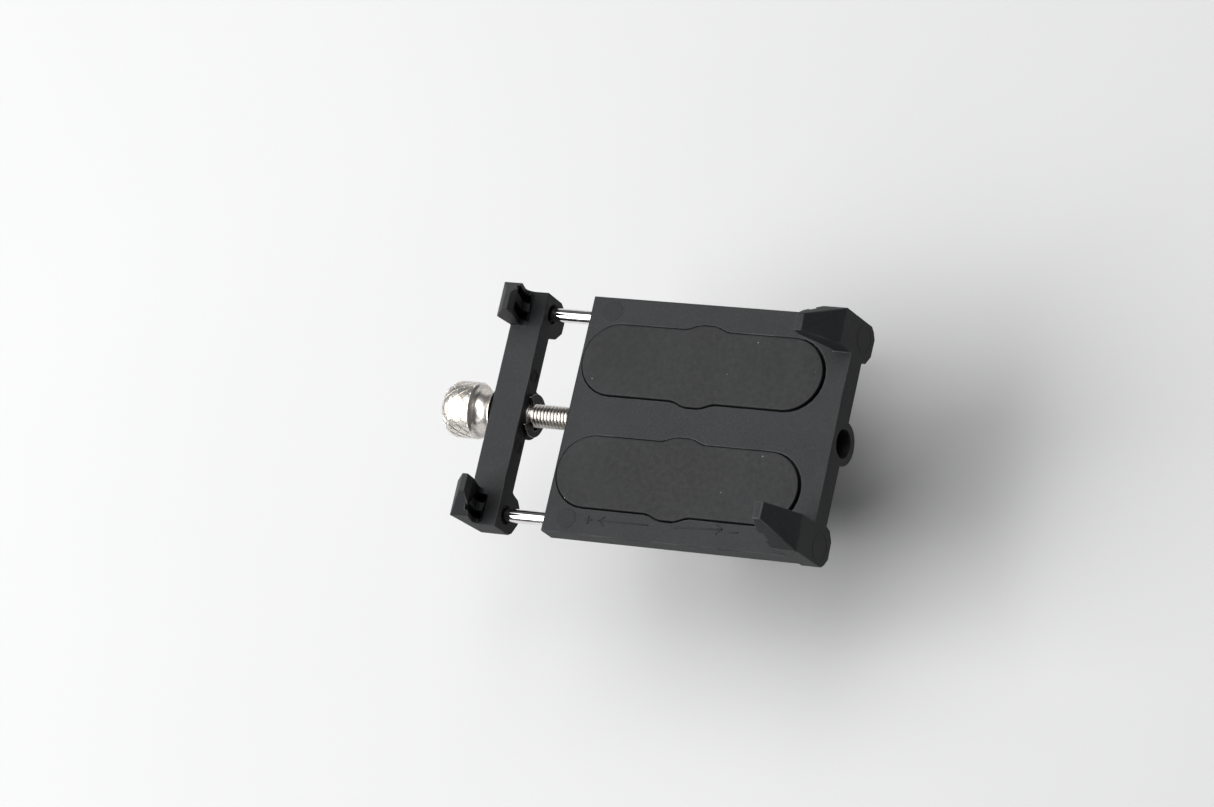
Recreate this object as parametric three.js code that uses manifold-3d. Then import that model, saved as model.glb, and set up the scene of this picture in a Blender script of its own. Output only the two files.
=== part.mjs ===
// Bicycle phone mount: a moulded tray with two fixed claws, a jaw driven by a thumb screw on two
// guide rods, and a hinged clamp for the handlebar. Millimetres, +Z up out of the tray, +X from the
// jaw to the fixed claws, +Y away from the rider. The origin is the centre of the handlebar clamp,
// on the bar's axis.
// Shapes are drawn in tray coordinates: x from the tray's jaw-side edge, y from the thumb screw's axis,
// z from the tray's top face. CLAMP_X, CLAMP_Y and CLAMP_Z place the clamp's centre in them.
import * as THREE from "three";
import { mergeVertices } from "three/addons/utils/BufferGeometryUtils.js";
import Module from "manifold-3d";

const wasm = await Module();
wasm.setup();

// Clamp centre in tray coordinates
const CLAMP_X = 28;
const CLAMP_Y = 5;
const CLAMP_Z = -28;

// Tray
const TRAY_LENGTH = 61.7;
const TRAY_HALF_WIDTH = 26.15;
const TRAY_EDGE_HEIGHT = 5;
const TRAY_PLATE = 3.4;
const SKIRT = 2.2;
const END_DRAFT = 0.0815; // the claw end leans outward by this much per millimetre downward
const ROD_Y = 22.5;
const ROD_Z = -3.84;
const SCREW_Z = -4.65;
const TUNNEL_RADIUS = 4.7;
const TUNNEL_BORE = 3.1;

// Pads and their recesses
const RECESS_DEPTH = 1.5;
const RECESS_Y = 12.38;
const RECESS_HALF_WIDTH = 8.05;
const RECESS_LEFT = 0.4;
const RECESS_RIGHT = 57;
const PAD_Y_SHIFT = 0.13;
const PAD_HALF_WIDTH = 7.84;
const PAD_LEFT = 0.5;
const PAD_RIGHT = 56.25;
const PAD_TOP = 0.06;
const PAD_THICKNESS = 1.48;
const BULGE = 1.15;
const BULGE_X = 28.2;
const BULGE_HALF_LENGTH = 5.3;

// Claws, seen along y: height of the tip, of the outer shoulder and the y positions of their ends
const CLAW_INNER_Y = 18.3;
const CLAW_TIP_END_Y = 22.05;
const CLAW_SHOULDER_Z = 5.2;
const JAW_CLAW_HEIGHT = 11.1;
const TRAY_CLAW_HEIGHT = 12.05;

// Jaw
const JAW_INNER_X = -11.04;
const JAW_OUTER_X = -18.55;
const JAW_DRAFT = 0.13;
const JAW_BAR_HEIGHT = 4.6;

// Thumb screw, clip and rods
const SCREW_RADIUS = 2.5;
const SCREW_END_X = 50;
const KNOB_RADIUS = 6.1;
const ROD_RADIUS = 1.5;
const ROD_START_X = -16.6;
const ROD_END_X = 50;
const CLIP_X = -10.74;
const CLIP_THICKNESS = 0.7;
const CLIP_RADIUS = 4.65;

// Handlebar clamp
const CLAMP_HALF_LENGTH = 11;
const BAR_RADIUS = 12.7;
const SHIM_RADIUS = 15.6;
const CLAMP_BORE = 15.9;
const CLAMP_RADIUS = 19.1;
const SPLIT_HALF_GAP = 0.4;
const HINGE_Y = -14.2;
const KNUCKLE_RADIUS = 3.2;
const PIN_RADIUS = 1.5;
const BOLT_Y = 26.4;
const EAR_END_Y = 31.8;
const TRAY_SCREW_DX = 7;
const TRAY_SCREW_Y = 12.4;

const group = new THREE.Group();
group.name = "phone_mount";

// ---- helpers -----------------------------------------------------------------------------------

function toSolid(geometry) {
  const plain = geometry.index ? geometry.toNonIndexed() : geometry.clone();
  plain.deleteAttribute("normal");
  plain.deleteAttribute("uv");
  const merged = mergeVertices(plain, 1e-4);
  return new wasm.Manifold(new wasm.Mesh({
    numProp: 3,
    vertProperties: new Float32Array(merged.attributes.position.array),
    triVerts: new Uint32Array(merged.index.array),
  }));
}

function toGeometry(solid) {
  const mesh = solid.getMesh();
  const geometry = new THREE.BufferGeometry();
  geometry.setAttribute("position", new THREE.Float32BufferAttribute(mesh.vertProperties, 3));
  geometry.setIndex(Array.from(mesh.triVerts));
  return geometry;
}

function shapeFrom(points) {
  return new THREE.Shape(points.map(([a, b]) => new THREE.Vector2(a, b)));
}

function extrude(shape, depth) {
  return new THREE.ExtrudeGeometry(shape, { depth, bevelEnabled: false, curveSegments: 24, steps: 1 });
}

// Outline in x and y, extruded from z0 to z1
function prismZ(points, z0, z1) {
  const geometry = extrude(shapeFrom(points), z1 - z0);
  geometry.translate(0, 0, z0);
  return toSolid(geometry);
}

// Outline in y and z, extruded from x0 to x1
function prismX(points, x0, x1) {
  const geometry = extrude(shapeFrom(points), x1 - x0);
  geometry.applyMatrix4(new THREE.Matrix4().set(0, 0, 1, x0, 1, 0, 0, 0, 0, 1, 0, 0, 0, 0, 0, 1));
  return toSolid(geometry);
}

// Outline in x and z, extruded from y0 to y1
function prismY(points, y0, y1) {
  const geometry = extrude(shapeFrom(points.map(([x, z]) => [z, x])), y1 - y0);
  geometry.applyMatrix4(new THREE.Matrix4().set(0, 1, 0, 0, 0, 0, 1, y0, 1, 0, 0, 0, 0, 0, 0, 1));
  return toSolid(geometry);
}

function block(x0, x1, y0, y1, z0, z1) {
  const geometry = new THREE.BoxGeometry(x1 - x0, y1 - y0, z1 - z0);
  geometry.translate((x0 + x1) / 2, (y0 + y1) / 2, (z0 + z1) / 2);
  return toSolid(geometry);
}

// Cylinder along x
function rodX(radius, x0, x1, y, z, segments = 40) {
  const geometry = new THREE.CylinderGeometry(radius, radius, x1 - x0, segments);
  geometry.rotateZ(Math.PI / 2);
  geometry.translate((x0 + x1) / 2, y, z);
  return toSolid(geometry);
}

// Cylinder or cone along z
function postZ(lowRadius, highRadius, z0, z1, x, y, segments = 32) {
  const geometry = new THREE.CylinderGeometry(highRadius, lowRadius, z1 - z0, segments);
  geometry.rotateX(Math.PI / 2);
  geometry.translate(x, y, (z0 + z1) / 2);
  return toSolid(geometry);
}

// Lathe profile of [distance along x, radius] pairs turned about an axis along x
function turnedX(profile, y, z, segments = 48) {
  const geometry = new THREE.LatheGeometry(profile.map(([x, r]) => new THREE.Vector2(r, x)), segments);
  geometry.rotateZ(-Math.PI / 2);
  geometry.translate(0, y, z);
  return toSolid(geometry);
}

function union(parts) {
  return parts.reduce((sum, part) => sum.add(part));
}

function cut(solid, tools) {
  return tools.reduce((rest, tool) => rest.subtract(tool), solid);
}

function mirrored(points, side) {
  return side > 0 ? points : points.map(([y, z]) => [-y, z]).reverse();
}

function arc(cy, cz, radius, fromDegrees, toDegrees, steps) {
  const points = [];
  for (let i = 0; i <= steps; i += 1) {
    const angle = THREE.MathUtils.degToRad(fromDegrees + ((toDegrees - fromDegrees) * i) / steps);
    points.push([cy + radius * Math.cos(angle), cz + radius * Math.sin(angle)]);
  }
  return points;
}

function addNode(name, solid, color, roughness, metalness) {
  const moved = toGeometry(solid);
  moved.translate(-CLAMP_X, -CLAMP_Y, -CLAMP_Z);
  const flat = moved.toNonIndexed();
  flat.computeVertexNormals();
  const mesh = new THREE.Mesh(flat, new THREE.MeshStandardMaterial({ color, roughness, metalness }));
  mesh.name = name;
  group.add(mesh);
}

// ---- shared shapes -----------------------------------------------------------------------------

// Long pad outline: round ends and a shallow bulge half way along both long sides
function padOutline(left, right, centreY, halfWidth) {
  const radius = halfWidth;
  const bulgeSteps = 8;
  const side = (sign, x0, x1) => {
    const points = [];
    for (let i = 0; i <= bulgeSteps; i += 1) {
      const x = x0 + ((x1 - x0) * i) / bulgeSteps;
      const t = (x - BULGE_X) / BULGE_HALF_LENGTH;
      const rise = BULGE * (1 - THREE.MathUtils.smoothstep(Math.abs(t), 0.25, 1));
      points.push([x, centreY + sign * (halfWidth + rise)]);
    }
    return points;
  };
  return [
    ...arc(left + radius, centreY, radius, 90, 270, 14),
    ...side(-1, BULGE_X - BULGE_HALF_LENGTH, BULGE_X + BULGE_HALF_LENGTH),
    ...arc(right - radius, centreY, radius, -90, 90, 14),
    ...side(1, BULGE_X + BULGE_HALF_LENGTH, BULGE_X - BULGE_HALF_LENGTH),
  ];
}

// Wedge that takes the corner off a claw between its tip and its outer shoulder
function clawCorner(side, tipZ) {
  const points = [
    [CLAW_TIP_END_Y, tipZ],
    [TRAY_HALF_WIDTH + 0.02, CLAW_SHOULDER_Z],
    [TRAY_HALF_WIDTH + 6, CLAW_SHOULDER_Z],
    [TRAY_HALF_WIDTH + 6, tipZ + 6],
    [CLAW_TIP_END_Y, tipZ + 6],
  ];
  return prismX(mirrored(points, side), -40, 90);
}

const POCKETS = [[19.5, 21.4], [23.3, 25]];

// Prism between the distances near and far from the middle plane, on one side of it
function sidePrism(side, profile, near, far) {
  return side > 0 ? prismY(profile, near, far) : prismY(profile, -far, -near);
}

function claw(side, profile, pocketProfile, tipZ) {
  const wedge = sidePrism(side, profile, CLAW_INNER_Y, TRAY_HALF_WIDTH);
  return {
    solid: wedge.subtract(clawCorner(side, tipZ)),
    pockets: POCKETS.map(([near, far]) => sidePrism(side, pocketProfile, near, far)),
  };
}

// ---- tray --------------------------------------------------------------------------------------

const endX = (z) => TRAY_LENGTH - z * END_DRAFT;

function trayClaw(side) {
  const profile = [
    [TRAY_LENGTH, 0], [endX(CLAW_SHOULDER_Z), CLAW_SHOULDER_Z],
    [55.1, TRAY_CLAW_HEIGHT], [53.4, TRAY_CLAW_HEIGHT], [53.5, 9.4],
    [57.4, 1.6], [57.5, -1], [TRAY_LENGTH, -1],
  ];
  const pocket = [[58.7, -1.2], [56, -1.2], [54.9, 3], [53, 7.4], [54.6, 8.6], [58.5, 2.4]];
  return claw(side, profile.reverse(), pocket.reverse(), TRAY_CLAW_HEIGHT);
}

// Corner block below a fixed claw, closing the end of a rod's bore
function cornerBoss(side) {
  const outline = [[TRAY_HALF_WIDTH, 0], [TRAY_HALF_WIDTH, -6.1], [25.4, -7.2], [23.9, -8.3], [20.05, -8.2],
    [18.05, -6.6], [17.6, -5], [17.6, 0]];
  return prismX(mirrored(outline.reverse(), side), 57.6, 63);
}

// Everything of the tray ends on this drafted face
function endFaceTool() {
  return prismY([[endX(20), 20], [70, 20], [70, -20], [endX(-20), -20]].reverse(), -40, 40);
}

function tray() {
  const claws = [1, -1].map(trayClaw);
  const outer = block(0, 64, -TRAY_HALF_WIDTH, TRAY_HALF_WIDTH, -TRAY_EDGE_HEIGHT, 0);
  const hollow = block(SKIRT, endX(0) - SKIRT - 0.5, -TRAY_HALF_WIDTH + SKIRT, TRAY_HALF_WIDTH - SKIRT,
    -TRAY_EDGE_HEIGHT - 1, -TRAY_PLATE);
  const ribs = [12, 28, 44].map((x) => (
    block(x - 0.9, x + 0.9, -24.2, 24.2, -TRAY_EDGE_HEIGHT, -TRAY_PLATE + 0.5)));
  const tunnel = rodX(TUNNEL_RADIUS, 0, 64, 0, SCREW_Z, 36);
  const rodTubes = [1, -1].map((s) => rodX(3.3, 0, 60, s * ROD_Y, ROD_Z, 24));
  const posts = screwSpots().map(([x, y]) => postZ(4.6, 4.6, -6.5, -1.7, x, y, 20));
  const aboveTop = block(-5, 70, -13, 13, 0, 8);
  const bosses = [1, -1].map(cornerBoss);
  let body = union([cut(outer, [hollow]), ...ribs, tunnel, ...rodTubes, ...posts, ...bosses]);
  body = cut(body, [aboveTop]);
  body = cut(union([body, ...claws.map((c) => c.solid)]), [endFaceTool()]);
  const recesses = [1, -1].map((s) => prismZ(
    padOutline(RECESS_LEFT, RECESS_RIGHT, s * RECESS_Y, RECESS_HALF_WIDTH), -RECESS_DEPTH, 0.5));
  const rodBores = [1, -1].map((s) => rodX(ROD_RADIUS + 0.1, -1, 60.4, s * ROD_Y, ROD_Z, 24));
  const screwHoles = screwSpots().flatMap(([x, y]) => [
    postZ(1.75, 1.75, -7, -1, x, y, 16),
    postZ(1.75, 3.3, -3.6, -2, x, y, 16),
    postZ(3.3, 3.3, -2.01, -1.4, x, y, 16),
  ]);
  const marks = [[5.1, 23.1], [5.2, -22.9]].map(([x, y]) => postZ(2.2, 2.2, -0.15, 0.5, x, y, 24));
  return cut(body, [
    ...claws.flatMap((c) => c.pockets),
    ...recesses,
    ...rodBores,
    ...screwHoles,
    ...marks,
    rodX(TUNNEL_BORE, -1, 70, 0, SCREW_Z, 28),
    rodX(3.75, -1, 8.7, 0, SCREW_Z, 28),
  ]);
}

function screwSpots() {
  const signs = [[-1, 1], [1, 1], [-1, -1], [1, -1]];
  return signs.map(([a, b]) => [CLAMP_X + a * TRAY_SCREW_DX, b * TRAY_SCREW_Y]);
}

function pad(side) {
  const centreY = side * RECESS_Y + PAD_Y_SHIFT;
  return prismZ(padOutline(PAD_LEFT, PAD_RIGHT, centreY, PAD_HALF_WIDTH), PAD_TOP - PAD_THICKNESS, PAD_TOP);
}

// ---- jaw ---------------------------------------------------------------------------------------

const jawOuterX = (z) => JAW_OUTER_X - z * JAW_DRAFT;

function jawBoss(side) {
  const outline = [[TRAY_HALF_WIDTH, 0], [TRAY_HALF_WIDTH, -6.6], [25.4, -8], [22.9, -9.75], [20.1, -9.7],
    [18.1, -7.5], [17.6, -5.3], [17.2, -4.5], [17.2, 0]];
  return prismX(mirrored(outline.reverse(), side), -20, JAW_INNER_X);
}

function jawClaw(side) {
  const profile = [
    [jawOuterX(0), 0], [jawOuterX(CLAW_SHOULDER_Z), CLAW_SHOULDER_Z], [-15.15, JAW_CLAW_HEIGHT],
    [-13.8, JAW_CLAW_HEIGHT], [-14.05, 7.7], [-15.75, 1.8], [-15.7, 1], [-15.3, 0.4],
    [-14.3, 0], [-14.3, -1], [jawOuterX(-1), -1],
  ];
  const pocket = [[-17.2, -2.4], [-14.5, -2.4], [-14.5, 2.6], [-13, 6.6], [-14.5, 8.1], [-17.2, 2.4]];
  return claw(side, profile, pocket, JAW_CLAW_HEIGHT);
}

function jaw() {
  const claws = [1, -1].map(jawClaw);
  const bar = prismY([
    [jawOuterX(0), 0], [JAW_INNER_X, 0], [JAW_INNER_X, -JAW_BAR_HEIGHT],
    [jawOuterX(-JAW_BAR_HEIGHT), -JAW_BAR_HEIGHT],
  ].reverse(), -TRAY_HALF_WIDTH, TRAY_HALF_WIDTH);
  const draftTool = prismY(
    [[jawOuterX(20), 20], [jawOuterX(-20), -20], [-30, -20], [-30, 20]].reverse(), -40, 40);
  const hubRound = rodX(5.3, JAW_OUTER_X + 0.1, JAW_INNER_X, 0, SCREW_Z, 32);
  const hub = cut(hubRound, [block(-40, 0, -10, 10, 0, 10)]);
  const trimmed = cut(union([bar, jawBoss(1), jawBoss(-1), ...claws.map((c) => c.solid)]), [draftTool]);
  return cut(union([trimmed, hub]), [
    ...claws.flatMap((c) => c.pockets),
    rodX(2.8, -30, 0, 0, SCREW_Z, 24),
    ...[1, -1].flatMap((s) => [
      rodX(1.7, ROD_START_X - 0.3, 0, s * ROD_Y, ROD_Z, 24),
      rodX(2.1, JAW_INNER_X - 0.9, 0, s * ROD_Y, ROD_Z, 24),
      rodX(1.4, JAW_INNER_X - 0.15, 0, s * 7.75, -2.3, 20),
    ]),
  ]);
}

// ---- screw, clip, insert and rods --------------------------------------------------------------

function thumbScrew() {
  const dome = [[-30.8, 0], [-30.8, 3], [-30.5, 4.3], [-29.9, 5.2], [-29.1, 5.8], [-28.2, KNOB_RADIUS]];
  const neck = [[-23.4, KNOB_RADIUS], [-22.9, 5.7], [-22.9, 5], [-22.3, 4.45], [-21.4, 4.15], [-20.6, 4.2],
    [-19.9, 4.5], [-19.3, 5.05], [-19.05, 5.25], [-18.8, 5.25]];
  const grooveEnd = CLIP_X + CLIP_THICKNESS + 0.12;
  const shank = [[-18.8, SCREW_RADIUS], [CLIP_X - 0.08, SCREW_RADIUS], [CLIP_X - 0.08, 2],
    [grooveEnd, 2], [grooveEnd, SCREW_RADIUS], [SCREW_END_X - 0.6, SCREW_RADIUS],
    [SCREW_END_X, SCREW_RADIUS - 0.6], [SCREW_END_X, 0]];
  return turnedX([...dome, ...neck, ...shank], 0, SCREW_Z, 28);
}

// Spring-steel clip: outer rim, three inner lugs on the groove, and a mouth that points up
function eClip() {
  const mouth = Math.PI / 2;
  const rim = rodX(CLIP_RADIUS, CLIP_X, CLIP_X + CLIP_THICKNESS, 0, SCREW_Z, 36);
  const groove = rodX(2.06, -20, 0, 0, SCREW_Z, 32);
  const point = (along, across) => [
    along * Math.cos(mouth) - across * Math.sin(mouth),
    SCREW_Z + along * Math.sin(mouth) + across * Math.cos(mouth),
  ];
  const throat = prismX([point(0, -1.7), point(1, -1.7), point(7, -4.9), point(7, 4.9),
    point(1, 1.7), point(0, 1.7)], -20, 0);
  const reliefs = [1, -1].map((s) => {
    const [y, z] = point(-1.15, s * 2.05);
    return rodX(1, -20, 0, y, z, 24);
  });
  return cut(rim, [groove, throat, ...reliefs]);
}

function insert() {
  const outer = turnedX([[0.4, 0], [0.4, 3.2], [0.7, 3.5], [4, 3.5], [4.1, 3.2],
    [4.7, 3.2], [4.8, 3.5], [8.2, 3.5], [8.4, 3.3], [8.4, 0]], 0, SCREW_Z, 24);
  return outer.subtract(rodX(SCREW_RADIUS + 0.08, -1, 10, 0, SCREW_Z, 24));
}

function guideRod(side) {
  return turnedX([[ROD_START_X, 0], [ROD_START_X, 1.3], [ROD_START_X + 0.2, ROD_RADIUS],
    [ROD_END_X - 0.3, ROD_RADIUS], [ROD_END_X, 1.2], [ROD_END_X, 0]], side * ROD_Y, ROD_Z, 24);
}

// ---- handlebar clamp ---------------------------------------------------------------------------

const clampX0 = CLAMP_X - CLAMP_HALF_LENGTH;
const clampX1 = CLAMP_X + CLAMP_HALF_LENGTH;
const KNUCKLE_LENGTH = 6;

function knuckle(x0, x1) {
  return rodX(KNUCKLE_RADIUS, x0, x1, HINGE_Y, CLAMP_Z, 24);
}

function boltHole(radius, z0, z1) {
  return postZ(radius, radius, z0, z1, CLAMP_X, BOLT_Y, 24);
}

// Ear with a rounded outer end that the clamp bolt goes through
function ear(z0, z1) {
  const halfWidth = 7.5;
  const corner = 4;
  const centreY = EAR_END_Y - corner;
  return prismZ([
    [CLAMP_X - halfWidth, 17],
    [CLAMP_X + halfWidth, 17],
    ...arc(CLAMP_X + halfWidth - corner, centreY, corner, 0, 90, 8),
    ...arc(CLAMP_X - halfWidth + corner, centreY, corner, 90, 180, 8),
  ], z0, z1);
}

function saddle() {
  const splitZ = CLAMP_Z + SPLIT_HALF_GAP;
  const ring = rodX(CLAMP_RADIUS, clampX0, clampX1, CLAMP_Y, CLAMP_Z, 48);
  const top = prismX([[-17.2, -6.8], [-17.2, -12], [-14.5, -20], [22, -20], [20, -12],
    [17.2, -9.5], [17.2, -6.8]], clampX0, clampX1);
  const web = prismX([[HINGE_Y - 2.8, CLAMP_Z + 1], [HINGE_Y + 5, CLAMP_Z + 1],
    [HINGE_Y + 6, -18], [HINGE_Y - 0.4, -18]], clampX0, clampX1);
  const earBlock = ear(splitZ, -19.6);
  const halfSpace = block(clampX0 - 1, clampX1 + 1, -40, 50, CLAMP_Z - 40, splitZ);
  const upper = cut(union([ring, top, web, earBlock]), [halfSpace]);
  const innerX0 = clampX0 + KNUCKLE_LENGTH;
  const innerX1 = clampX1 - KNUCKLE_LENGTH;
  const knuckles = [knuckle(clampX0, innerX0), knuckle(innerX1, clampX1)];
  const strapRoom = rodX(KNUCKLE_RADIUS + 0.5, innerX0, innerX1, HINGE_Y, CLAMP_Z, 24);
  const nutPocket = toSolid(hexagon(4.85, 6).translate(CLAMP_X, BOLT_Y, -24.2 + 3));
  return cut(cut(union([upper.subtract(strapRoom), ...knuckles]), [
    rodX(CLAMP_BORE, clampX0 - 1, clampX1 + 1, CLAMP_Y, CLAMP_Z, 48),
    block(clampX0 - 1, clampX1 + 1, -5.4, 5.4, -9.75, 0),
    rodX(PIN_RADIUS + 0.07, clampX0 - 1, clampX1 + 1, HINGE_Y, CLAMP_Z, 24),
    boltHole(2.95, -40, -10),
    nutPocket,
  ]), screwSpots().map(([x, y]) => postZ(1.75, 1.75, -12.9, -5, x, y, 16)));
}

function hexagon(cornerRadius, height) {
  const geometry = new THREE.CylinderGeometry(cornerRadius, cornerRadius, height, 6);
  geometry.rotateX(Math.PI / 2);
  return geometry;
}

function strap() {
  const splitZ = CLAMP_Z - SPLIT_HALF_GAP;
  const ring = rodX(CLAMP_RADIUS, clampX0, clampX1, CLAMP_Y, CLAMP_Z, 48);
  const web = prismX([[HINGE_Y - 2.6, CLAMP_Z - 1.6], [HINGE_Y - 0.6, -34.5],
    [HINGE_Y + 3, -36], [HINGE_Y + 5, CLAMP_Z - 1]], clampX0, clampX1);
  const earBlock = ear(-35.8, splitZ);
  const halfSpace = block(clampX0 - 1, clampX1 + 1, -40, 50, splitZ, CLAMP_Z + 40);
  const lower = cut(union([ring, web, earBlock]), [halfSpace]);
  const middleX0 = clampX0 + KNUCKLE_LENGTH + 0.3;
  const middleX1 = clampX1 - KNUCKLE_LENGTH - 0.3;
  const middle = knuckle(middleX0, middleX1);
  const sides = [[clampX0 - 1, middleX0], [middleX1, clampX1 + 1]];
  const saddleRoom = sides.map(([a, b]) => rodX(KNUCKLE_RADIUS + 0.5, a, b, HINGE_Y, CLAMP_Z, 24));
  return cut(union([cut(lower, saddleRoom), middle]), [
    rodX(CLAMP_BORE, clampX0 - 1, clampX1 + 1, CLAMP_Y, CLAMP_Z, 48),
    rodX(PIN_RADIUS + 0.07, clampX0 - 1, clampX1 + 1, HINGE_Y, CLAMP_Z, 24),
    boltHole(2.75, -40, -20),
    boltHole(5.4, -44, -35.8),
  ]);
}

// Half sleeve of rubber between the bar and the clamp
function shim(side) {
  const gap = 3;
  const start = side > 0 ? gap : 180 + gap;
  const end = start + 180 - 2 * gap;
  return prismX([...arc(CLAMP_Y, CLAMP_Z, SHIM_RADIUS, start, end, 26),
    ...arc(CLAMP_Y, CLAMP_Z, BAR_RADIUS, end, start, 26)], clampX0 - 0.5, clampX1 + 0.5);
}

function hingePin() {
  return turnedX([[clampX0 + 0.3, 0], [clampX0 + 0.3, 1.25], [clampX0 + 0.6, PIN_RADIUS],
    [clampX1 - 0.6, PIN_RADIUS], [clampX1 - 0.3, 1.25], [clampX1 - 0.3, 0]], HINGE_Y, CLAMP_Z, 24);
}

function clampBolt() {
  const headTop = -42.1;
  const profile = [[0, headTop], [3.8, headTop], [4.25, headTop + 0.45], [4.25, -37.1],
    [SCREW_RADIUS, -37.1], [SCREW_RADIUS, -19], [2, -18.4], [0, -18.4]];
  const geometry = new THREE.LatheGeometry(profile.map(([r, z]) => new THREE.Vector2(r, z)), 28);
  geometry.rotateX(Math.PI / 2);
  geometry.translate(CLAMP_X, BOLT_Y, 0);
  const socket = toSolid(hexagon(2.35, 5.2).translate(CLAMP_X, BOLT_Y, headTop));
  return toSolid(geometry).subtract(socket);
}

function washer() {
  return postZ(5, 5, -36.8, -36.1, CLAMP_X, BOLT_Y, 28).subtract(boltHole(2.7, -40, -30));
}

function nut() {
  const body = toSolid(hexagon(4.6, 4).translate(CLAMP_X, BOLT_Y, -23.9 + 2));
  return body.subtract(boltHole(2.82, -30, -10));
}

function traySink(x, y) {
  const profile = [[0, -12.4], [0.9, -12.4], [1.5, -11.4], [1.5, -3.35],
    [2.85, -2], [2.85, -1.75], [0, -1.75]];
  const geometry = new THREE.LatheGeometry(profile.map(([r, z]) => new THREE.Vector2(r, z)), 28);
  geometry.rotateX(Math.PI / 2);
  geometry.translate(x, y, 0);
  const socket = toSolid(hexagon(1.15, 1.8).translate(x, y, -1.75));
  return toSolid(geometry).subtract(socket);
}

// ---- assembly ----------------------------------------------------------------------------------

const NYLON = [0x34363a, 0.62, 0];
const RUBBER = [0x2b2c2e, 0.75, 0];
const STEEL = [0xc9c7c2, 0.28, 1];

addNode("tray", tray(), ...NYLON);
addNode("pad_rear", pad(1), 0x303234, 0.55, 0);
addNode("pad_front", pad(-1), 0x303234, 0.55, 0);
addNode("jaw", jaw(), ...NYLON);
addNode("rod_rear", guideRod(1), 0xd8d7d4, 0.12, 1);
addNode("rod_front", guideRod(-1), 0xd8d7d4, 0.12, 1);
addNode("thumb_screw", thumbScrew(), ...STEEL);
addNode("e_clip", eClip(), 0x1b1b1c, 0.4, 1);
addNode("screw_insert", insert(), 0xb08d4a, 0.35, 1);
addNode("saddle", saddle(), ...NYLON);
addNode("strap", strap(), ...NYLON);
addNode("shim_top", shim(1), ...RUBBER);
addNode("shim_bottom", shim(-1), ...RUBBER);
addNode("hinge_pin", hingePin(), ...STEEL);
addNode("clamp_bolt", clampBolt(), 0x2a2a2b, 0.4, 1);
addNode("clamp_washer", washer(), ...STEEL);
addNode("clamp_nut", nut(), ...STEEL);
screwSpots().forEach(([x, y], index) => {
  addNode(`tray_screw_${index + 1}`, traySink(x, y), ...STEEL);
});

export default group;
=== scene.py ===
import math

import bmesh
import bpy
from mathutils import Matrix, Vector


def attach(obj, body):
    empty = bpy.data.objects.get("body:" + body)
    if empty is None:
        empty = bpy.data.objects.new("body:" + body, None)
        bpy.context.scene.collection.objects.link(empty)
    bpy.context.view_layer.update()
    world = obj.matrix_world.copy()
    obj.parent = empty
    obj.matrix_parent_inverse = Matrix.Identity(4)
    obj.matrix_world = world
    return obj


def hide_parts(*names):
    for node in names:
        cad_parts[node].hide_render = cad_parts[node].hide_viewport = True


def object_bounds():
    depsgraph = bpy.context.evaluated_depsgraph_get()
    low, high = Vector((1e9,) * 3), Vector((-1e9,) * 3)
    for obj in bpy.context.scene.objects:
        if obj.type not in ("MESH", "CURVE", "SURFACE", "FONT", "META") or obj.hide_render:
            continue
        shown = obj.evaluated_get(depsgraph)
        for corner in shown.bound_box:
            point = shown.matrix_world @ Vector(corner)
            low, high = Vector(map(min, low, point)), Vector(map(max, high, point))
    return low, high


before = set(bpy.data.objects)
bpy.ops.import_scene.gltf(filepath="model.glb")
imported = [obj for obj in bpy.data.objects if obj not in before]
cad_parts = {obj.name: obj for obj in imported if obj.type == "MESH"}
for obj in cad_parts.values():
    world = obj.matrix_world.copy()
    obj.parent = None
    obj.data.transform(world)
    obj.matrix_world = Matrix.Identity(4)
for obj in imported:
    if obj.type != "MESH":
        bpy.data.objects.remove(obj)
CAD_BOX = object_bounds()

# Shapes are drawn in millimetres from the tray: x from its jaw-side edge, y from the thumb screw's
# axis, z from its top face. CLAMP is the handlebar clamp's centre there, which is the row's origin.
MM = 0.001
CLAMP = Vector((28, 5, -28))
SCREW_Z = -4.65
ROD_Y = 22.5
ROD_Z = -3.84
ROD_RADIUS = 1.5
ROD_START_X, ROD_END_X = -16.6, 50
HINGE_Y = -14.2

# Knurled head, neck and shank of the thumb screw
KNOB_START_X = -30.8
KNURL_START_X, KNURL_END_X = -30.7, -23.5
KNOB_RADIUS = 6.1
KNURL_STARTS = 17
KNURL_LEAD = 2.3
KNURL_DEPTH = 0.3
KNURL_STEPS = 24  # mesh steps from one groove to the next
GROOVE_HALF_WIDTH = 0.125  # as a share of the distance between grooves
NECK_START_X = -18.9
CLIP_GROOVE_X = -10.82, -9.95
CLIP_GROOVE_RADIUS = 2.02
SCREW_RADIUS = 2.5
THREAD_ROOT_RADIUS = 2.0
THREAD_PITCH = 0.8
THREAD_X = -9.97, 49.6

# Pads, as in the CAD model
PAD_LEFT, PAD_RIGHT, PAD_HALF_WIDTH = 0.5, 56.25, 7.84
PAD_REAR_Y, PAD_FRONT_Y = 12.51, -12.25
PAD_TOP, PAD_THICKNESS = 0.06, 1.48
PAD_EDGE_ROUND = 0.2
BULGE, BULGE_X, BULGE_HALF_LENGTH = 1.15, 28.2, 5.3

# The tray's fixed end leans outward by END_DRAFT per millimetre downward
TRAY_LENGTH = 61.7
END_DRAFT = 0.0815

TURNED_ROUND = 0.15  # of the edges on turned pieces
FLOOR_HALF_SIZE = 0.9
FLOOR_GAP = 0.0002


def place(x, y, z):
    return (Vector((x, y, z)) - CLAMP) * MM


# ---- camera and light ---------------------------------------------------------------------------

CAMERA_LENS = 133.55
CAMERA_SENSOR = 36
CAMERA_PLACE = (0.4173, -0.23932, 0.83079)
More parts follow.
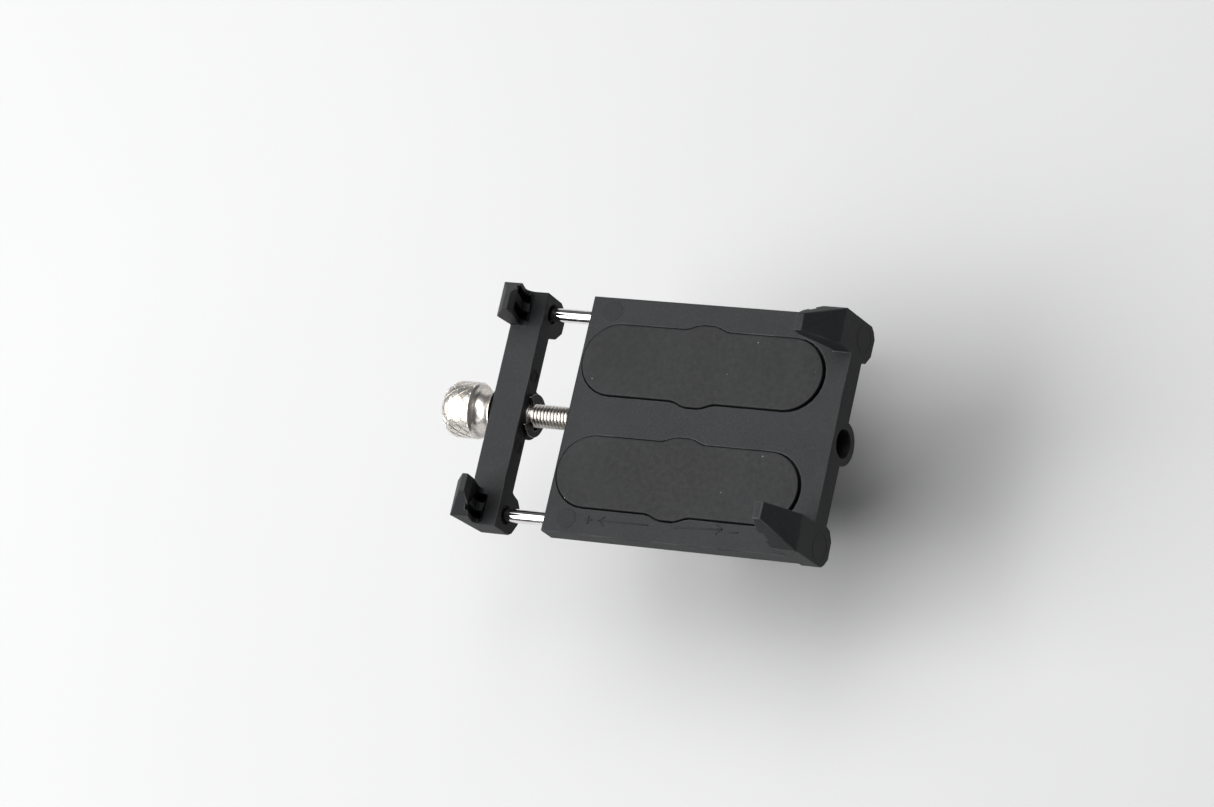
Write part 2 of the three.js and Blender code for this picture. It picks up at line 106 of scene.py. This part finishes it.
# The camera's right, up and back directions, solved from the object's corners
CAMERA_RIGHT = (0.88311628, 0.21564668, -0.41665591)
CAMERA_UP = (-0.07873798, 0.94362952, 0.32150218)
CAMERA_BACK = (0.4624997, -0.25111716, 0.85031418)

camera_data = bpy.data.cameras.new("camera")
camera_data.lens = CAMERA_LENS
camera_data.sensor_width = CAMERA_SENSOR
camera_data.clip_start = 0.01
camera = bpy.data.objects.new("camera", camera_data)
turned_axes = Matrix((CAMERA_RIGHT, CAMERA_UP, CAMERA_BACK)).transposed().to_4x4()
camera.matrix_world = Matrix.Translation(CAMERA_PLACE) @ turned_axes
bpy.context.scene.collection.objects.link(camera)
bpy.context.scene.camera = camera
bpy.context.scene.view_settings.view_transform = "Standard"


def area_light(name, location, target, size, power):
    """A soft box of size metres and power watts at location, turned towards target."""
    data = bpy.data.lights.new(name, "AREA")
    data.shape = "RECTANGLE"
    data.size, data.size_y = size
    data.energy = power
    light = bpy.data.objects.new(name, data)
    light.location = location
    direction = Vector(target) - Vector(location)
    light.rotation_mode = "QUATERNION"
    light.rotation_quaternion = direction.to_track_quat("-Z", "Y")
    bpy.context.scene.collection.objects.link(light)


TRAY_MIDDLE = (0, 0, 0.01)
area_light("key", (-0.75, -0.35, 0.85), TRAY_MIDDLE, (1.0, 1.0), 19.5)
area_light("overhead", (-0.15, 0.35, 1.1), (0, 0, 0), (1.2, 0.8), 12)
area_light("front", (-0.2, -1.1, 0.4), TRAY_MIDDLE, (0.9, 0.3), 1.5)

WORLD_COLOUR = (0.93, 0.95, 1, 1)
WORLD_STRENGTH = 0.14
world = bpy.data.worlds.new("studio")
world.use_nodes = True
bpy.context.scene.world = world
background = world.node_tree.nodes["Background"]
background.inputs["Color"].default_value = WORLD_COLOUR
background.inputs["Strength"].default_value = WORLD_STRENGTH


# ---- materials -----------------------------------------------------------------------------------

class Nodes:
    """A material's node tree, with one-line calls for the nodes used here."""

    def __init__(self, name, **constants):
        self.material = bpy.data.materials.new(name)
        self.material.use_nodes = True
        self.tree = self.material.node_tree
        self.shader = self.tree.nodes["Principled BSDF"]
        self.position = self.tree.nodes.new("ShaderNodeTexCoord").outputs["Object"]
        for key, value in constants.items():
            self.shader.inputs[key.replace("_", " ")].default_value = value

    def link(self, source, target):
        self.tree.links.new(source, target)

    def noise(self, scale, detail=2, roughness=0.5, stretch=None):
        """Noise from 0 to 1 with scale blotches a metre, more along axes with stretch over 1."""
        node = self.tree.nodes.new("ShaderNodeTexNoise")
        node.inputs["Scale"].default_value = scale
        node.inputs["Detail"].default_value = detail
        node.inputs["Roughness"].default_value = roughness
        source = self.position
        if stretch:
            mapping = self.tree.nodes.new("ShaderNodeMapping")
            mapping.inputs["Scale"].default_value = stretch
            self.link(source, mapping.inputs["Vector"])
            source = mapping.outputs["Vector"]
        self.link(source, node.inputs["Vector"])
        return node.outputs["Fac"]

    def specks(self, scale, size):
        """1 in small round dots, one in each cell of a pattern with scale cells a metre."""
        node = self.tree.nodes.new("ShaderNodeTexVoronoi")
        node.inputs["Scale"].default_value = scale
        self.link(self.position, node.inputs["Vector"])
        return self.spread(node.outputs["Distance"], (size, 1), (size * 1.7, 0))

    def spread(self, source, low, high):
        """Maps source from low[0]..high[0] to low[1]..high[1]."""
        node = self.tree.nodes.new("ShaderNodeMapRange")
        values = {"From Min": low[0], "From Max": high[0], "To Min": low[1], "To Max": high[1]}
        for key, value in values.items():
            node.inputs[key].default_value = value
        self.link(source, node.inputs["Value"])
        return node.outputs["Result"]

    def mix(self, factor, first, second):
        """Colour mix by factor; first and second are colours or sockets."""
        node = self.tree.nodes.new("ShaderNodeMix")
        node.data_type = "RGBA"
        self.link(factor, node.inputs["Factor"])
        for value, socket in ((first, node.inputs[6]), (second, node.inputs[7])):
            if isinstance(value, tuple):
                socket.default_value = (*value, 1)
            else:
                self.link(value, socket)
        return node.outputs[2]

    def maths(self, operation, first, second):
        node = self.tree.nodes.new("ShaderNodeMath")
        node.operation = operation
        for value, socket in ((first, node.inputs[0]), (second, node.inputs[1])):
            if isinstance(value, (int, float)):
                socket.default_value = value
            else:
                self.link(value, socket)
        return node.outputs[0]

    def screw_radius(self):
        """Distance from the thumb screw's axis, in metres."""
        flat = self.tree.nodes.new("ShaderNodeVectorMath")
        flat.operation = "MULTIPLY"
        flat.inputs[1].default_value = (0, 1, 1)
        self.link(self.position, flat.inputs[0])
        distance = self.tree.nodes.new("ShaderNodeVectorMath")
        distance.operation = "DISTANCE"
        distance.inputs[1].default_value = place(CLAMP.x, 0, SCREW_Z)
        self.link(flat.outputs["Vector"], distance.inputs[0])
        return distance.outputs["Value"]

    def bump(self, height, distance, strength=1.0):
        node = self.tree.nodes.new("ShaderNodeBump")
        node.inputs["Distance"].default_value = distance
        node.inputs["Strength"].default_value = strength
        self.link(height, node.inputs["Height"])
        self.link(node.outputs["Normal"], self.shader.inputs["Normal"])


def nylon_material(name="nylon", base=0.0155, relief=0.7, edge_highlight=False):
    """Glass-filled nylon: dull, with a fine spark-eroded grain and faint flow clouds. The edge
    version is the same with blotches painted light, a painted highlight for the narrow faces along
    the edges."""
    n = Nodes(name, Specular_IOR_Level=0.2)
    cloud = n.noise(90, 3, 0.6)
    grain = n.noise(5200, 2, 0.6)
    dark = (base * 0.86, base * 0.9, base * 0.95)
    light = (base * 1.12, base * 1.17, base * 1.24)
    body = n.mix(n.spread(cloud, (0.3, 0), (0.7, 1)), dark, light)
    speckle = n.spread(n.noise(2700, 2, 0.7), (0.5, 0), (0.72, 0.55))
    body = n.mix(speckle, body, (base * 1.8, base * 1.85, base * 1.95))
    # Painted highlight: light blotches on the bevelled edge faces, standing in for light caught on
    # the edges
    if edge_highlight:
        edge_highlight_patches = n.spread(n.noise(160, 3), (0.38, 0.05), (0.62, 0.8))
        body = n.mix(edge_highlight_patches, body, (base * 3.1, base * 3.2, base * 3.35))
    n.link(body, n.shader.inputs["Base Color"])
    n.link(n.spread(grain, (0.3, 0.5), (0.7, 0.68)), n.shader.inputs["Roughness"])
    n.bump(n.maths("ADD", grain, n.maths("MULTIPLY", n.noise(1500, 2), 0.6)), 0.00004, relief)
    return n.material


def pad_material():
    """Thermoplastic rubber inlay: smoother than the nylon, slightly greyer, with dust on it."""
    n = Nodes("pad_rubber", Specular_IOR_Level=0.17)
    haze = n.noise(40, 3, 0.55)
    dark = (0.0128, 0.0131, 0.0138)
    light = (0.0175, 0.0179, 0.0187)
    body = n.mix(n.spread(haze, (0.35, 0), (0.7, 1)), dark, light)
    dusty = n.spread(n.noise(210, 2), (0.52, 0), (0.56, 0.8))
    dust = n.maths("MULTIPLY", n.specks(300, 0.036), dusty)
    n.link(n.mix(dust, body, (0.26, 0.26, 0.25)), n.shader.inputs["Base Color"])
    n.link(n.spread(n.noise(900, 3), (0.3, 0.46), (0.7, 0.6)), n.shader.inputs["Roughness"])
    n.bump(n.maths("ADD", n.noise(3800, 2), n.maths("MULTIPLY", haze, 3)), 0.00003, 0.45)
    return n.material


def rubber_material():
    """Plain matte rubber of the shims in the clamp."""
    n = Nodes("shim_rubber", Specular_IOR_Level=0.3)
    n.link(n.mix(n.noise(160, 3), (0.012, 0.012, 0.0125), (0.024, 0.024, 0.025)),
           n.shader.inputs["Base Color"])
    n.link(n.spread(n.noise(2500, 2), (0.3, 0.62), (0.7, 0.8)), n.shader.inputs["Roughness"])
    n.bump(n.noise(3000, 3), 0.00005, 0.6)
    return n.material


def metal_material(name, dark, light, rough, grain, stretch, height=0.00002, grooves=None):
    """Metal with streaks of turning or drawing along one direction and a slightly uneven finish.
    The last argument, grooves, gives the radii in millimetres between which the thumb screw's
    surface goes from painted shade, dark in the thread's grooves, to its plain colour."""
    n = Nodes(name, Metallic=1.0)
    cloud = n.noise(400, 3, 0.6)
    colour = n.mix(n.spread(cloud, (0.3, 0), (0.7, 1)), dark, light)
    if grooves:
        low, high = grooves
        unshaded = n.spread(n.screw_radius(), (low * MM, 0), (high * MM, 1))
        # Painted shade: the thread's roots are darkened towards this colour
        colour = n.mix(unshaded, (0.13, 0.12, 0.11), colour)
    n.link(colour, n.shader.inputs["Base Color"])
    streak = n.noise(grain, 3, 0.6, stretch)
    n.link(n.spread(streak, (0.3, rough[0]), (0.7, rough[1])), n.shader.inputs["Roughness"])
    n.bump(streak, height, 0.5)
    return n.material


def floor_material():
    """Plain pale paper."""
    n = Nodes("floor", Specular_IOR_Level=0.2, Roughness=0.85)
    n.link(n.mix(n.noise(6, 2), (0.5, 0.5, 0.5), (0.53, 0.53, 0.53)), n.shader.inputs["Base Color"])
    return n.material


NYLON = nylon_material()
# Painted highlight for the bevelled edge faces
NYLON_EDGE_HIGHLIGHT = nylon_material("nylon_painted_edge_highlight", edge_highlight=True)
CLAMP_NYLON = nylon_material("nylon_clamp", 0.0142)
SMOOTH_NYLON = nylon_material("nylon_smooth", 0.0125, 0.15)
PAD = pad_material()
RUBBER = rubber_material()
CHROME = metal_material("rod_chrome", (0.68, 0.67, 0.66), (0.8, 0.79, 0.78), (0.05, 0.13), 6000,
                        (0.1, 1, 1), 0.000001)
DARK_NICKEL, LIGHT_NICKEL = (0.62, 0.59, 0.55), (0.8, 0.77, 0.73)
NICKEL = metal_material("screw_nickel", DARK_NICKEL, LIGHT_NICKEL, (0.24, 0.42), 14000,
                        (1, 0.25, 0.25), 0.000004)
# With painted shade in the thread's grooves
THREAD_NICKEL_SHADED = metal_material("thread_nickel_painted_groove_shade", DARK_NICKEL, LIGHT_NICKEL, (0.2, 0.36), 14000,
                               (1, 0.25, 0.25), 0.000004, (2.02, 2.42))
STEEL = metal_material("zinc_steel", (0.5, 0.5, 0.5), (0.68, 0.67, 0.66), (0.22, 0.42), 1200,
                       (1, 1, 0.4), 0.00001)
BLACK_STEEL = metal_material("black_steel", (0.012, 0.011, 0.0105), (0.035, 0.033, 0.031),
                             (0.24, 0.44), 1500, (1, 1, 1), 0.00001)
# Painted highlight: light steel colour on the clip's rounded edges, standing in for light caught
# there
HIGHLIGHT_EDGE_STEEL = metal_material("steel_painted_edge_highlight", (0.05, 0.048, 0.046), (0.4, 0.38, 0.36),
                              (0.2, 0.36), 1500, (1, 1, 1), 0.00001)
BRASS = metal_material("brass", (0.55, 0.38, 0.14), (0.72, 0.52, 0.22), (0.25, 0.42), 1500,
                       (1, 1, 1), 0.00001)
FLOOR = floor_material()


# ---- mesh helpers --------------------------------------------------------------------------------

def finished(name, mesh, material, body, nodes=(), sharp=35):
    """Makes a piece that rides on body and stands for nodes. A mesh that has its materials already
    is given with None. With sharp, the piece is shaded smooth but for edges over that many
    degrees."""
    if material:
        mesh.materials.clear()
        mesh.materials.append(material)
    if sharp:
        for polygon in mesh.polygons:
            polygon.use_smooth = True
        mesh.set_sharp_from_angle(angle=math.radians(sharp))
    piece = bpy.data.objects.new(name, mesh)
    bpy.context.scene.collection.objects.link(piece)
    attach(piece, body)
    if nodes:
        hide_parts(*nodes)
    return piece


def to_mesh(name, bm):
    """The finished bmesh as a mesh, with its faces all turned outward."""
    bmesh.ops.recalc_face_normals(bm, faces=bm.faces)
    mesh = bpy.data.meshes.new(name)
    bm.to_mesh(mesh)
    bm.free()
    return mesh


def bevelled(mesh, width, segments, angle, materials):
    """The mesh with its edges rounded off by width millimetres and its flat faces shaded flat.
    materials has one for the faces and one for the rounded edges."""
    mesh.materials.clear()
    for material in materials:
        mesh.materials.append(material)
    for polygon in mesh.polygons:
        polygon.use_smooth = True
    holder = bpy.data.objects.new("holder", mesh)
    bpy.context.scene.collection.objects.link(holder)
    bevel = holder.modifiers.new("bevel", "BEVEL")
    bevel.width = width * MM
    bevel.segments = segments
    bevel.limit_method = "ANGLE"
    bevel.angle_limit = math.radians(angle)
    bevel.use_clamp_overlap = False
    bevel.material = len(materials) - 1
    normals = holder.modifiers.new("normals", "WEIGHTED_NORMAL")
    normals.weight = 90  # large faces decide, so that flat ones look flat
    bpy.context.view_layer.update()
    evaluated = holder.evaluated_get(bpy.context.evaluated_depsgraph_get())
    result = bpy.data.meshes.new_from_object(evaluated)
    bpy.data.objects.remove(holder)
    return result


def refined(node, name, materials, body, width, segments=3, angle=25):
    """A rounded copy of a CAD node that stands for it, with materials as bevelled() takes them."""
    same_place, same_plane = 0.002 * MM, math.radians(0.6)
    bm = bmesh.new()
    bm.from_mesh(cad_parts[node].data)
    bmesh.ops.remove_doubles(bm, verts=bm.verts, dist=same_place)
    bmesh.ops.dissolve_limit(bm, angle_limit=same_plane, verts=bm.verts, edges=bm.edges,
                             use_dissolve_boundaries=False)
    mesh = bevelled(to_mesh(name, bm), width, segments, angle, materials)
    return finished(name, mesh, None, body, [node], None)


def lathe(profile, centre, axis, segments=64):
    """A profile of (distance along the axis, radius) pairs turned about axis X or Z at centre."""
    bm = bmesh.new()
    rings = []
    for along, radius in profile:
        ring = []
        count = 1 if radius == 0 else segments
        for i in range(count):
            turn = 2 * math.pi * i / segments
            across, over = radius * math.cos(turn), radius * math.sin(turn)
            point = {"X": (along, centre[1] + across, centre[2] + over),
                     "Z": (centre[0] + across, centre[1] + over, along)}[axis]
            ring.append(bm.verts.new(place(*point)))
        rings.append(ring)
    for first, second in zip(rings, rings[1:]):
        join_rings(bm, first, second)
    return bm


def join_rings(bm, first, second):
    """Joins two rings of verts by faces, either of which may be a single vert."""
    count = max(len(first), len(second))
    for i in range(count):
        a, b = first[i % len(first)], first[(i + 1) % len(first)]
        c, d = second[(i + 1) % len(second)], second[i % len(second)]
        corners = [v for k, v in enumerate((a, b, c, d)) if v not in (a, b, c, d)[:k]]
        if len(corners) > 2:
            bm.faces.new(corners)


def turned(name, profile, centre, axis, material, body, nodes=(), segments=64, sharp=35):
    """A lathe piece whose profile's corners get a small round."""
    bm = lathe(rounded_profile(profile, TURNED_ROUND), centre, axis, segments)
    return finished(name, to_mesh(name, bm), material, body, nodes, sharp)


def rounded_profile(profile, radius, steps=3):
    """The profile with each inner corner replaced by a short curve."""
    points = [Vector(p) for p in profile]
    result = [profile[0]]
    for before, corner, after in zip(points, points[1:], points[2:]):
        reach = min(radius, 0.45 * (corner - before).length, 0.45 * (after - corner).length)
        start = corner + (before - corner).normalized() * reach
        end = corner + (after - corner).normalized() * reach
        for k in range(steps + 1):
            t = k / steps
            point = start.lerp(corner, t).lerp(corner.lerp(end, t), t)
            result.append(tuple(point))
    result.append(profile[-1])
    return result


def surface(bm, rows, closed_ends=True):
    """Joins rows of equal length, each once round, into a tube with or without end faces."""
    for first, second in zip(rows, rows[1:]):
        join_rings(bm, first, second)
    if closed_ends:
        bm.faces.new(rows[0])
        bm.faces.new(rows[-1])


# ---- tray, jaw and clamp -------------------------------------------------------------------------

# The second material paints a highlight on the tray's and jaw's rounded edges
refined("tray", "tray_shell", [NYLON, NYLON_EDGE_HIGHLIGHT], "mount", 0.22)
refined("jaw", "jaw_bar", [NYLON, NYLON_EDGE_HIGHLIGHT], "carriage", 0.22)
refined("saddle", "clamp_saddle", [CLAMP_NYLON], "mount", 0.3)
refined("strap", "clamp_strap", [CLAMP_NYLON], "lower_clamp", 0.3)

# ---- rods, thumb screw, clip and insert ----------------------------------------------------------

for side, end in ((1, "rear"), (-1, "front")):
    turned(f"guide_rod_{end}",
           [(ROD_START_X, 0), (ROD_START_X, 1.35), (-16.4, ROD_RADIUS), (49.7, ROD_RADIUS),
            (ROD_END_X, 1.2), (ROD_END_X, 0)],
           (0, side * ROD_Y, ROD_Z), "X", CHROME, "carriage", [f"rod_{end}"], 72)


def groove(turn):
    """Depth share of one family of knurl grooves at a place counted in grooves."""
    return max(0.0, 1 - abs(turn % 1 - 0.5) / GROOVE_HALF_WIDTH)


def knurl_fade(along):
    """Share of the knurl's depth at a distance along the axis: it runs out towards both ends."""
    into_crown = (along - KNURL_START_X) / 1.1
    before_end = (KNURL_END_X - along) / 0.25
    return min(1, max(0, into_crown)) * min(1, max(0, before_end))


def knob_profile(along):
    """Radius of the knob's crown and grip at a distance along the axis."""
    crown = [(KNOB_START_X, 2.6), (-30.72, 3.6), (-30.5, 4.35), (-30.1, 5.0), (-29.6, 5.45),
             (-29.0, 5.8), (-28.2, 6.05), (-27.4, KNOB_RADIUS), (-23.35, KNOB_RADIUS)]
    for (x0, r0), (x1, r1) in zip(crown, crown[1:]):
        if along <= x1:
            return r0 + (r1 - r0) * (along - x0) / (x1 - x0)
    return KNOB_RADIUS


def join_grooved(bm, first, second):
    """Joins two rings of (vert, groove depth) pairs by triangles, split along the grooves: each
    quad by its more level diagonal, or the deeper one where both are level."""

    def rank(depth, other):
        return round(abs(depth - other), 4), -depth - other

    for i in range(len(first)):
        corners = first[i - 1], first[i], second[i], second[i - 1]
        (a, b, c, d), (depth_a, depth_b, depth_c, depth_d) = zip(*corners)
        if rank(depth_a, depth_c) < rank(depth_b, depth_d):
            triangles = (a, b, c), (a, c, d)
        else:
            triangles = (a, b, d), (b, c, d)
        for triangle in triangles:
            bm.faces.new(triangle)


def circle(around):
    return [2 * math.pi * i / around for i in range(around)]


def on_screw(along, radius, angle):
    """A point on the thumb screw's surface."""
    return place(along, radius * math.cos(angle), SCREW_Z + radius * math.sin(angle))


def knob():
    """Nickel-plated head with two crossing families of knurl grooves, a chamfer and a neck."""
    bm = bmesh.new()
    angles = circle(KNURL_STARTS * KNURL_STEPS)
    rows = []
    row_step = KNURL_LEAD / KNURL_STEPS
    for k in range(78):
        along = KNOB_START_X + row_step * k
        row = []
        lead = (along - KNOB_START_X) / KNURL_LEAD
        for i, angle in enumerate(angles):
            turn = i / len(angles) * KNURL_STARTS
            depth = max(groove(turn + lead), groove(turn - lead))
            radius = knob_profile(along) - KNURL_DEPTH * knurl_fade(along) * depth
            row.append((bm.verts.new(on_screw(along, radius, angle)), depth))
        rows.append(row)
    bm.faces.new([vert for vert, _ in rows[0]])
    chamfer = [(-23.36, KNOB_RADIUS), (-23.3, 6.06), (-22.96, 5.74), (-22.9, 5.66)]
    waist = [(-22.9, 4.85), (-22.82, 4.65), (-22.6, 4.45), (-22.2, 4.28), (-21.7, 4.17),
             (-21.2, 4.14), (-20.7, 4.2), (-20.2, 4.35), (-19.8, 4.56), (-19.45, 4.84),
             (-19.25, 5.06), (-19.12, 5.2)]
    flange = [(-19.05, 5.24), (-18.85, 5.24), (-18.8, 5.2)]
    for along, radius in chamfer + waist + flange:
        rows.append([(bm.verts.new(on_screw(along, radius, angle)), 0) for angle in angles])
    for first, second in zip(rows, rows[1:]):
        join_grooved(bm, first, second)
    bm.faces.new([vert for vert, _ in rows[-1]])
    finished("screw_knob", to_mesh("screw_knob", bm), NICKEL, "screw", ["thumb_screw"], 30)


def thread():
    """The screw's V thread: every row follows the helix, and is cut off flat at both ends."""
    start, end = THREAD_X
    crest, root, flank = 0.13, 0.1, 0.385
    shape = [(0, SCREW_RADIUS), (crest, SCREW_RADIUS), (crest + flank, THREAD_ROOT_RADIUS),
             (crest + flank + root, THREAD_ROOT_RADIUS)]
    around = 48
    bm = bmesh.new()
    rows = []
    turns = int((end - start) / THREAD_PITCH) + 2
    for k in range(-1, turns):
        for share, radius in shape:
            row = []
            for i in range(around + 1):
                along = start + THREAD_PITCH * (k + share + i / around)
                kept = min(max(along, start), end)
                row.append(bm.verts.new(on_screw(kept, radius, 2 * math.pi * i / around)))
            rows.append(row)
    for first, second in zip(rows, rows[1:]):
        for i in range(around):
            bm.faces.new((first[i], first[i + 1], second[i + 1], second[i]))
    bmesh.ops.remove_doubles(bm, verts=bm.verts, dist=0.001 * MM)
    bmesh.ops.dissolve_degenerate(bm, edges=bm.edges, dist=0.0005 * MM)
    cut_off = [f for f in bm.faces if len({round(v.co.x, 8) for v in f.verts}) == 1]
    bmesh.ops.delete(bm, geom=cut_off, context="FACES")
    open_edges = [e for e in bm.edges if e.is_boundary]
    caps = [bm.verts.new(place(x, 0, SCREW_Z)) for x in THREAD_X]
    for edge in open_edges:
        cap = min(caps, key=lambda vert: abs(vert.co.x - edge.verts[0].co.x))
        bm.faces.new((*edge.verts, cap))
    finished("screw_thread", to_mesh("screw_thread", bm), THREAD_NICKEL_SHADED, "screw", (), 40)


def neck():
    """Plain shank through the jaw, with the clip's groove at its end."""
    groove_start, groove_end = CLIP_GROOVE_X
    profile = [(NECK_START_X, 0), (NECK_START_X, SCREW_RADIUS), (groove_start, SCREW_RADIUS),
               (groove_start, CLIP_GROOVE_RADIUS), (groove_end, CLIP_GROOVE_RADIUS),
               (groove_end, 0)]
    turned("screw_neck", profile, (0, 0, SCREW_Z), "X", NICKEL, "screw")


knob()
neck()
thread()
# The clip's rounded edges carry the painted highlight steel
refined("e_clip", "retaining_clip", [BLACK_STEEL, HIGHLIGHT_EDGE_STEEL], "screw", 0.07,
        2, 30)
refined("screw_insert", "threaded_insert", [BRASS], "mount", 0.08, 2, 30)


# ---- pads ----------------------------------------------------------------------------------------

def pad_outline(inset):
    """Points round a pad's edge, inset from its outline; y counts from the pad's middle. Each end
    is a half circle, and each long side has a smooth bulge in its middle."""
    radius = PAD_HALF_WIDTH - inset
    left, right = PAD_LEFT + PAD_HALF_WIDTH, PAD_RIGHT - PAD_HALF_WIDTH
    end_steps, side_steps = 40, 60
    points = []

    def end(centre, start):
        for i in range(end_steps + 1):
            angle = math.radians(start + 180 * i / end_steps)
            points.append((centre + radius * math.cos(angle), radius * math.sin(angle)))

    def long_side(sign, first, last):
        for i in range(1, side_steps):
            x = first + (last - first) * i / side_steps
            t = min(1, max(0, (abs(x - BULGE_X) / BULGE_HALF_LENGTH - 0.25) / 0.75))
            rise = BULGE * (1 - t * t * (3 - 2 * t))
            points.append((x, sign * (radius + rise)))

    end(left, 90)
    long_side(-1, left, right)
    end(right, -90)
    long_side(1, right, left)
    return points


def pad(name, middle_y, node):
    """Rubber inlay: chamfered underside, rounded upper edge and a barely hollow top."""
    bottom, chamfer = PAD_TOP - PAD_THICKNESS, 0.25
    rings = [(chamfer, bottom), (0, bottom + chamfer)]
    for degrees in (0, 22, 45, 68, 90):
        angle = math.radians(degrees)
        rings.append((PAD_EDGE_ROUND * (1 - math.cos(angle)),
                      PAD_TOP - PAD_EDGE_ROUND * (1 - math.sin(angle))))
    hollow = [(0.5, 0), (1.2, 0.008), (2.4, 0.02), (3.8, 0.03), (5.4, 0.036)]
    rings += [(inset, PAD_TOP - depth) for inset, depth in hollow]
    bm = bmesh.new()
    rows = []
    for inset, z in rings:
        rows.append([bm.verts.new(place(x, middle_y + y, z)) for x, y in pad_outline(inset)])
    surface(bm, rows)
    finished(name, to_mesh(name, bm), PAD, "mount", [node], 30)


pad("pad_inlay_rear", PAD_REAR_Y, "pad_rear")
pad("pad_inlay_front", PAD_FRONT_Y, "pad_front")


# ---- raised marks on the tray --------------------------------------------------------------------

def ridge(bm, start, end):
    """A raised line on the tray's top face between two (x, y) points."""
    width, height = 0.34, 0.14
    a, b = Vector(start), Vector(end)
    along = (b - a).normalized()
    across = Vector((-along.y, along.x))
    rows = []
    for z, w in ((-0.05, width), (height * 0.6, width * 0.82), (height, width * 0.45)):
        half = w / 2
        corners = [a - along * half + across * half, b + along * half + across * half,
                   b + along * half - across * half, a - along * half - across * half]
        rows.append([bm.verts.new(place(p.x, p.y, z)) for p in corners])
    surface(bm, rows)


def marks():
    """Plus and minus signs and the two direction arrows along the tray's front edge."""
    plus = [((9.6, -22.7), (11.2, -22.7)), ((10.4, -21.95), (10.4, -23.45))]
    out_tip = (12.9, -22.7)
    out_arrow = [(out_tip, (24.2, -22.6)), (out_tip, (14.1, -21.85)), (out_tip, (14.1, -23.6))]
    in_tip = (41.3, -21.9)
    in_arrow = [((30.5, -22.5), in_tip), (in_tip, (40.0, -21.1)), (in_tip, (40.1, -22.9))]
    minus = [((43.1, -22.35), (45.0, -22.25))]
    bm = bmesh.new()
    for start, end in plus + out_arrow + in_arrow + minus:
        ridge(bm, start, end)
    finished("tray_marks", to_mesh("tray_marks", bm), NYLON, "mount", (), 50)


def bore_ring(end, y):
    """Faint raised ring on the leaning end face, round the end of a rod's bore."""
    x = TRAY_LENGTH - END_DRAFT * ROD_Z
    bm = bmesh.new()
    rows = []
    for radius, height in ((2.75, -0.05), (2.8, 0.05), (2.95, 0.05), (3.0, -0.05)):
        row = []
        for angle in circle(48):
            dz = radius * math.sin(angle)
            point = place(x + height - END_DRAFT * dz, y + radius * math.cos(angle), ROD_Z + dz)
            row.append(bm.verts.new(point))
        rows.append(row)
    rows.append(rows[0])
    surface(bm, rows, False)
    name = f"bore_ring_{end}"
    finished(name, to_mesh(name, bm), NYLON, "mount", (), 50)


def ejector_mark(end, x, y):
    """Smooth round witness mark: the tray's shallow recess filled flush, with a low disc in it."""
    rim = [(-0.12, 0), (-0.12, 2.1), (-0.04, 2.54), (0.004, 2.5), (0.004, 0)]
    disc = [(-0.1, 0), (-0.1, 2.12), (0.02, 2.16), (0.04, 2.1), (0.04, 0)]
    for part, profile, material in (("rim", rim, NYLON), ("disc", disc, SMOOTH_NYLON)):
        name = f"ejector_{part}_{end}"
        bm = lathe(profile, (x, y, 0), "Z")
        finished(name, to_mesh(name, bm), material, "mount", (), 12)


marks()
ejector_mark("rear", 5.1, 23.1)
ejector_mark("front", 5.2, -22.9)
bore_ring("rear", ROD_Y)
bore_ring("front", -ROD_Y)


# ---- handlebar clamp's small parts ---------------------------------------------------------------

refined("shim_top", "shim_upper", [RUBBER], "mount", 0.3, 3, 30)
refined("shim_bottom", "shim_lower", [RUBBER], "lower_clamp", 0.3, 3, 30)
turned("clamp_hinge_pin",
       [(17.3, 0), (17.3, 1.25), (17.6, 1.5), (38.4, 1.5), (38.7, 1.25), (38.7, 0)],
       (0, HINGE_Y, CLAMP.z), "X", STEEL, "mount", ["hinge_pin"], 48)
refined("clamp_nut", "captive_nut", [STEEL], "mount", 0.12, 2, 25)
refined("clamp_washer", "bolt_washer", [STEEL], "bolt", 0.1, 2, 40)
refined("clamp_bolt", "clamp_bolt_m5", [BLACK_STEEL], "bolt", 0.1, 2, 40)
for number in (1, 2, 3, 4):
    refined(f"tray_screw_{number}", f"sink_screw_{number}", [STEEL], "mount", 0.06, 2, 40)

# ---- floor ---------------------------------------------------------------------------------------

bm = bmesh.new()
bmesh.ops.create_grid(bm, x_segments=8, y_segments=8, size=FLOOR_HALF_SIZE)
floor_mesh = to_mesh("floor", bm)
floor_mesh.materials.append(FLOOR)
floor = bpy.data.objects.new("floor", floor_mesh)
floor.location = (0, 0, CAD_BOX[0].z - FLOOR_GAP)
bpy.context.scene.collection.objects.link(floor)
